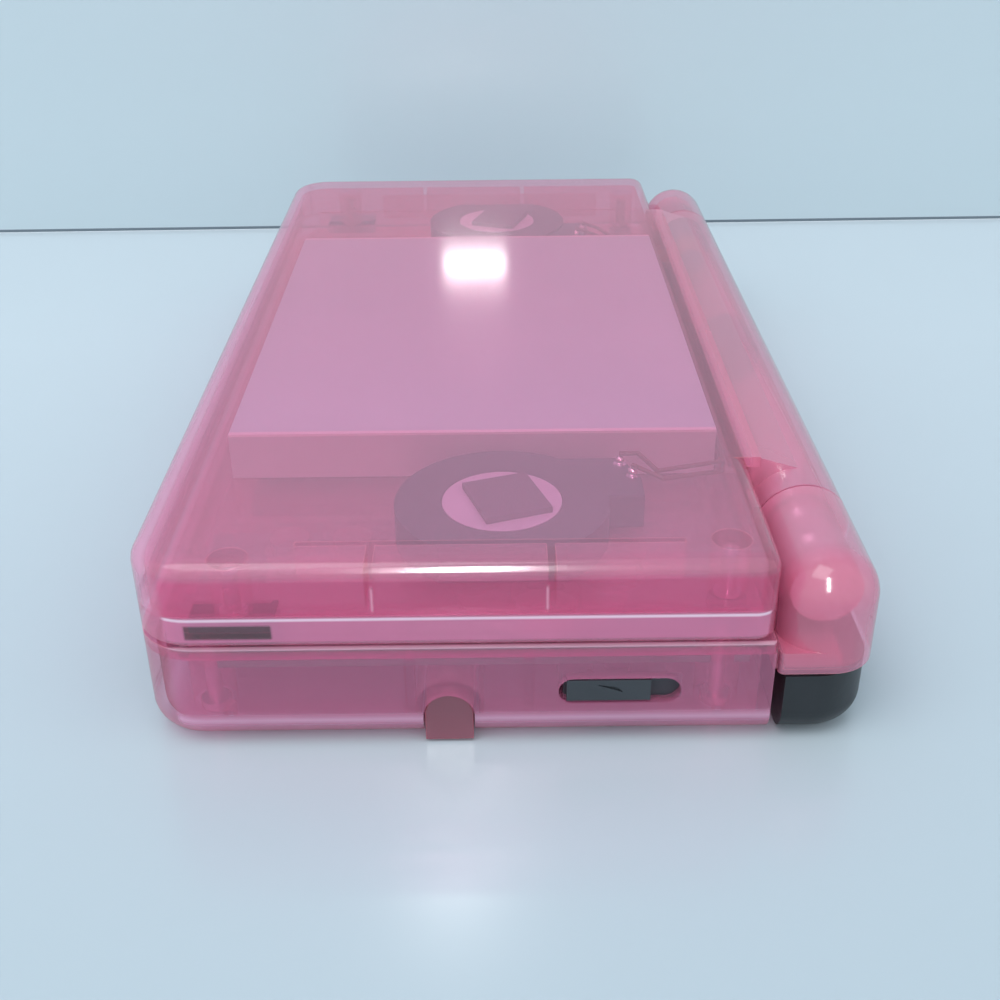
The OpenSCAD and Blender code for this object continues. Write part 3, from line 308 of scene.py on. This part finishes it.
# Bands, in mm.
LID_LAYERS_Z = (12.6, 19.6)
LID_WALL_Z = (15.6, 19.8)
LID_LIP_Z = (12.8, 15.3)
# Bands of painted highlights: bright lines at the lid's step, the base's top edge and above its
# rounded lower edge.
LIP_HIGHLIGHT_Z = (15.2, 15.55)
SEAM_HIGHLIGHT_Z = (11.8, 12.15)
FOOT_HIGHLIGHT_Z = (2.6, 3.7)
PAD_Y = (-31.4, -22.9)
PAD_Z = (13.15, 14.75)
RIBS_Y = ((-13.1, -12.9), (3.7, 3.9))
RIB_Z = (16.2, 19.0)


def end_walls(n):
    return n.axis("X", END_WALL_X, mirrored=True)


def between_ends(n):
    return n.axis("X", END_WALL_X[::-1], mirrored=True)


def before_hinge(n):
    return n.axis("Y", HINGE_Y[::-1])


def outer_walls(n):
    return n.either(end_walls(n), n.axis("Y", FRONT_WALL_Y))


def knuckle_ends(n):
    """The thick ends of the two knuckles, where the plastic looks milky."""
    across = n.axis("X", KNUCKLE_END_X, mirrored=True)
    return n.both(across, n.axis("Y", KNUCKLE_END_Y), n.axis("Z", KNUCKLE_END_Z))


def hinge_barrels(n):
    """The thick-walled tubes along the hinge."""
    return n.both(n.axis("Y", HINGE_Y), n.axis("Z", HINGE_Z))


def lid_inside(n):
    """The layers low in the lid."""
    return n.both(n.band("Z", LID_LAYERS_Z), between_ends(n))


def lid_walls(n):
    return n.both(outer_walls(n), n.band("Z", LID_WALL_Z, 0.3))


def lid_lip(n):
    """The band of the lid between the seam and the step."""
    return n.both(outer_walls(n), n.band("Z", LID_LIP_Z))


def pad_windows(n):
    """Where the rubber pads press against the end walls."""
    return n.both(end_walls(n), n.band("Y", PAD_Y), n.band("Z", PAD_Z))


def front_slope(n):
    """The rounded front edge of the lid, seen along its length."""
    return n.both(n.axis("Y", FRONT_SLOPE_Y), n.axis("Z", FRONT_SLOPE_Z))


def rib_highlights(n):
    """Painted highlight: bright edges where the ribs meet the end walls of the lid."""
    ribs = n.either(*(n.band("Y", rib) for rib in RIBS_Y))
    return n.both(end_walls(n), ribs, n.band("Z", RIB_Z, 0.3))


def base_inside(n):
    return n.both(n.axis("Z", BASE_TOP_Z), between_ends(n), before_hinge(n))


def base_walls(n):
    return n.both(outer_walls(n), n.axis("Z", BASE_WALL_TOP_Z), before_hinge(n))


def lip_highlight(n):
    """Painted highlight: a bright line at the lid's step."""
    return n.both(outer_walls(n), n.band("Z", LIP_HIGHLIGHT_Z, 0.1))


def seam_highlight(n):
    """Painted highlight: the bright top edge of the base, at the seam."""
    return n.both(outer_walls(n), n.band("Z", SEAM_HIGHLIGHT_Z, 0.1))


def foot_highlight(n):
    """Painted highlight: a bright line above the base's rounded lower edge."""
    return n.both(outer_walls(n), n.band("Z", FOOT_HIGHLIGHT_Z, 0.5))


# ---- shield: places in mm ----

SHIELD_END_X = (35.0, 35.2)
SHIELD_FOLD_X = (35.2, 35.4)
SHIELD_FOLD_Z = (19.8, 19.95)
SHIELD_TOP_Z = (19.95, 20.12)


def shield():
    """Lavender sheet, with painted shade down its sides, darkest on its ends, and a painted
    highlight along the fold between top and sides.
    """
    n = Nodes("shield_lavender")
    p = n.add("ShaderNodeBsdfPrincipled")
    top = n.ramp(n.noise(25), (0.62, 0.84, 0.90), (0.68, 0.89, 0.94))
    # Painted shade: the ends are dusky and the flanks a little darker than the top.
    ends = n.ramp(n.noise(60), (0.60, 0.56, 0.60), (0.66, 0.61, 0.66))
    flanks = n.ramp(n.noise(60), (0.62, 0.80, 0.86), (0.68, 0.85, 0.90))
    side = n.blend(n.axis("X", SHIELD_END_X, mirrored=True), flanks, ends)
    # Painted highlight: a bright line along the fold.
    fold_highlight = n.both(n.axis("X", SHIELD_FOLD_X, mirrored=True), n.axis("Z", SHIELD_FOLD_Z))
    colour = n.blend(n.axis("Z", SHIELD_TOP_Z), side, top)
    n.put(n.blend(fold_highlight, colour, (0.99, 0.93, 0.98)), p.inputs["Base Color"])
    n.put(n.remap(n.noise(240), NOISE_SPAN, 0.28, 0.4), p.inputs["Roughness"])
    n.put(n.bump(n.noise(900, 2.0), 1e-5), p.inputs["Normal"])
    n.put(0.1, p.inputs["Metallic"])
    return n.finish(p.outputs["BSDF"])


# ---- materials, one per slot of the record, and one for the stylus ----

PINK_FACE = (0.985, 0.80, 0.885)
PINK_EDGE = (0.99, 0.45, 0.52)
PINK_BODY = (0.98, 0.46, 0.68)
PINK_GLOW = (0.98, 0.26, 0.36)
# Painted glow along sharp edges, standing in for light reflected inside the plastic.
PINK_RIM_GLOW = (1.0, 0.46, 0.52)
PINK_SOLIDITY = 0.18
# Mask, colour and share. A later zone covers an earlier one.
PINK_ZONES = (
    (lid_inside, (1.0, 0.42, 0.64), 0.20),
    (lid_walls, (0.95, 0.12, 0.34), 0.26),
    (base_inside, (0.95, 0.34, 0.52), 0.12),
    (base_walls, (1.0, 0.30, 0.58), 0.24),
    (front_slope, (1.0, 0.50, 0.74), 0.42),
    # Painted highlight along the ribs' edges on the lid's end walls.
    (rib_highlights, (1.0, 0.62, 0.78), 0.6),
    (lid_lip, (1.0, 0.34, 0.61), 0.45),
    # Painted highlights: bright lines at the lid's step, the base's top edge and above its
    # rounded lower edge.
    (lip_highlight, (1.0, 0.76, 0.92), 0.80),
    (seam_highlight, (1.0, 0.66, 0.82), 0.60),
    (foot_highlight, (1.0, 0.56, 0.82), 0.50),
    (pad_windows, (0.07, 0.04, 0.05), 0.60),
    (hinge_barrels, (1.0, 0.40, 0.58), 0.42),
    (knuckle_ends, (0.96, 0.28, 0.44), 0.44),
)

WINDOW_FACE = (0.97, 0.97, 0.98)
WINDOW_EDGE = (0.85, 0.88, 0.92)
WINDOW_BODY = (0.8, 0.82, 0.86)
WINDOW_GLOW = (0.7, 0.74, 0.8)

# Name, colour, roughness and what else differs.
SOLIDS = (
    ("display_black", (0.02, 0.02, 0.025), 0.08, {"vary": 0.1, "coat": 1.0}),
    ("diffuser_white", (0.85, 0.86, 0.9), 0.4, {"vary": 0.03}),
    ("speaker_dark", (0.08, 0.09, 0.11), 0.45, {}),
    ("speaker_metal", (0.80, 0.74, 0.90), 0.4, {"metal": 0.1, "vary": 0.05}),
    ("foam_dark", (0.16, 0.14, 0.18), 0.9, {"grain": 2500, "height": 6e-5}),
    ("rubber_dark", (0.06, 0.055, 0.06), 0.7, {}),
    ("steel", (0.6, 0.6, 0.62), 0.3, {"metal": 1.0, "vary": 0.06}),
    ("screw_steel", (0.55, 0.55, 0.57), 0.25, {"metal": 1.0, "vary": 0.08}),
    ("solder", (0.86, 0.86, 0.9), 0.12, {"metal": 1.0, "vary": 0.04}),
    ("contact_gold", (0.80, 0.58, 0.22), 0.25, {"metal": 1.0, "vary": 0.06}),
    ("wire_dark", (0.16, 0.03, 0.03), 0.4, {}),
    ("flex_amber", (0.62, 0.28, 0.08), 0.35, {}),
    ("black_plastic", (0.012, 0.016, 0.020), 0.38, {"vary": 0.2}),
    ("slider_grey", (0.035, 0.045, 0.055), 0.5, {}),
    ("board_green", (0.03, 0.16, 0.09), 0.35, {"coat": 0.4}),
    ("chip_black", (0.02, 0.02, 0.022), 0.5, {}),
    ("membrane_grey", (0.5, 0.5, 0.53), 0.6, {}),
    ("battery_grey", (0.10, 0.105, 0.12), 0.45, {}),
)

MATERIALS = {
    "clear_pink": clear(
        "clear_pink",
        PINK_FACE,
        PINK_EDGE,
        PINK_BODY,
        PINK_GLOW,
        PINK_SOLIDITY,
        rim_glow=PINK_RIM_GLOW,
        zones=PINK_ZONES,
    ),
    "clear_window": clear(
        "clear_window", WINDOW_FACE, WINDOW_EDGE, WINDOW_BODY, WINDOW_GLOW, 0.03
    ),
    "button_pink": clear(
        "button_pink", (0.97, 0.72, 0.84), PINK_EDGE, (0.92, 0.45, 0.65), PINK_GLOW, 0.35
    ),
    "shield_lavender": shield(),
    **{name: solid(name, colour, rough, **rest) for name, colour, rough, rest in SOLIDS},
}

STYLUS_PINK = clear(
    "stylus_pink",
    (0.97, 0.66, 0.74),
    PINK_EDGE,
    (0.40, 0.13, 0.19),
    PINK_GLOW,
    0.50,
    # Painted deep red glow along the stylus's sharp edges.
    rim_glow=(0.62, 0.05, 0.10),
)


def dress_nodes():
    slots = {row["node"]: row["material_slot"] for row in frame["record"]["subparts"]}
    for name, obj in nodes.items():
        obj.data.materials.clear()
        obj.data.materials.append(STYLUS_PINK if name == "stylus" else MATERIALS[slots[name]])


# ---- setting: a pale floor, a pale wall behind, and soft light ----

STAGE_SIZE = 6
FLOOR_Z = -0.0001  # just under the part, so that its underside lies on top
FLOOR_FAR = (0.635, 0.73, 0.79)
# Painted shade: the floor darker towards the camera.
FLOOR_NEAR_SHADED = (0.51, 0.61, 0.67)
FLOOR_SHADE_X = (-40, 110)  # mm, where painted shade takes the floor from its far to its near colour
WALL_COLOUR = (0.575, 0.70, 0.755)
WALL_X = -0.10655
WALL_TURN = (0, math.radians(90), math.radians(0.6))
JOINT_COLOUR = (0.16, 0.21, 0.25)
JOINT_HEIGHT = 0.0006
SKY_COLOUR = (0.93, 0.96, 1.0)
SKY_STRENGTH = 1.08


def stage_surface(name, colour, rough, near=None):
    """A plain surface; with near, painted shade changes its colour towards the camera."""
    n = Nodes(name)
    p = n.add("ShaderNodeBsdfPrincipled")
    tone = n.ramp(n.noise(3.0), shade(colour, 0.985), shade(colour, 1.015))
    if near:
        tone = n.blend(n.axis("X", FLOOR_SHADE_X), tone, near)
    n.put(tone, p.inputs["Base Color"])
    n.put(rough, p.inputs["Roughness"])
    return n, p.outputs["BSDF"]


def floor_material():
    n, surface = stage_surface("floor", FLOOR_FAR, 0.22, near=FLOOR_NEAR_SHADED)
    return n.finish(surface)


def wall_material(name, colour, rough):
    """Seen from the front only, so that views from behind look through it."""
    n, surface = stage_surface(name, colour, rough)
    nothing = n.add("ShaderNodeBsdfTransparent").outputs["BSDF"]
    return n.finish(n.shaders(n.behind(), surface, nothing))


def stage_plane(name, centre, turn, material, height=STAGE_SIZE):
    """A plane as wide as the stage; height is its side along its own X."""
    mesh = bpy.data.meshes.new(name)
    w, h = height / 2, STAGE_SIZE / 2
    mesh.from_pydata([(-w, -h, 0), (w, -h, 0), (w, h, 0), (-w, h, 0)], [], [(0, 1, 2, 3)])
    mesh.materials.append(material)
    obj = bpy.data.objects.new(name, mesh)
    obj.location = centre
    obj.rotation_euler = turn
    bpy.context.scene.collection.objects.link(obj)
    return obj


def area_light(name, at, look_at, size, power, glint=()):
    """A glint lamp shows only as a reflection in the objects it is given."""
    data = bpy.data.lights.new(name, "AREA")
    data.shape = "RECTANGLE"
    data.size, data.size_y = size
    data.energy = power
    obj = bpy.data.objects.new(name, data)
    obj.location = at
    obj.rotation_euler = (Vector(look_at) - Vector(at)).to_track_quat("-Z", "Y").to_euler()
    if glint:
        obj.visible_camera = False
        obj.visible_diffuse = False
        obj.visible_transmission = False
        receivers = bpy.data.collections.new(name)
        for receiver in glint:
            receivers.objects.link(receiver)
        obj.light_linking.receiver_collection = receivers
    bpy.context.scene.collection.objects.link(obj)


def build_floor_and_wall():
    floor = stage_plane("floor", (0, 0, FLOOR_Z), (0, 0, 0), floor_material())
    stage_plane(
        "wall",
        (WALL_X, 0, STAGE_SIZE / 2),
        WALL_TURN,
        wall_material("wall", WALL_COLOUR, 0.2),
    )
    stage_plane(
        "wall_joint",
        (WALL_X + JOINT_HEIGHT / 2, 0, JOINT_HEIGHT / 2),
        WALL_TURN,
        wall_material("wall_joint", JOINT_COLOUR, 0.6),
        height=JOINT_HEIGHT,
    )
    return floor


def build_light(floor):
    world = bpy.data.worlds.new("world")
    world.use_nodes = True
    background = world.node_tree.nodes["Background"]
    background.inputs["Color"].default_value = (*SKY_COLOUR, 1)
    background.inputs["Strength"].default_value = SKY_STRENGTH
    bpy.context.scene.world = world
    area_light("key", (0.35, -0.3, 0.95), (0, 0, 0), (0.6, 0.6), 2.8)
    pieces = list(nodes.values())
    area_light(
        "lid_glint",
        at=(-0.100, -0.0052, 0.0496),
        look_at=(-0.02, -0.0035, 0.0215),
        size=(0.0132, 0.0034),
        power=0.0021,
        glint=pieces,
    )
    area_light(
        "floor_glint",
        at=(-0.100, -0.014, 0.189),
        look_at=(0.084, -0.005, 0),
        size=(0.018, 0.008),
        power=0.020,
        glint=[floor],
    )
    area_light(
        "edge_glint",
        at=(0.290, -0.0112, 0.200),
        look_at=(0.065, 0, 0.0205),
        size=(0.031, 0.170),
        power=0.60,
        glint=pieces,
    )


add_camera()
dress_nodes()
build_light(build_floor_and_wall())
scene = bpy.context.scene
scene.view_settings.view_transform = "Standard"
scene.cycles.transparent_max_bounces = 32
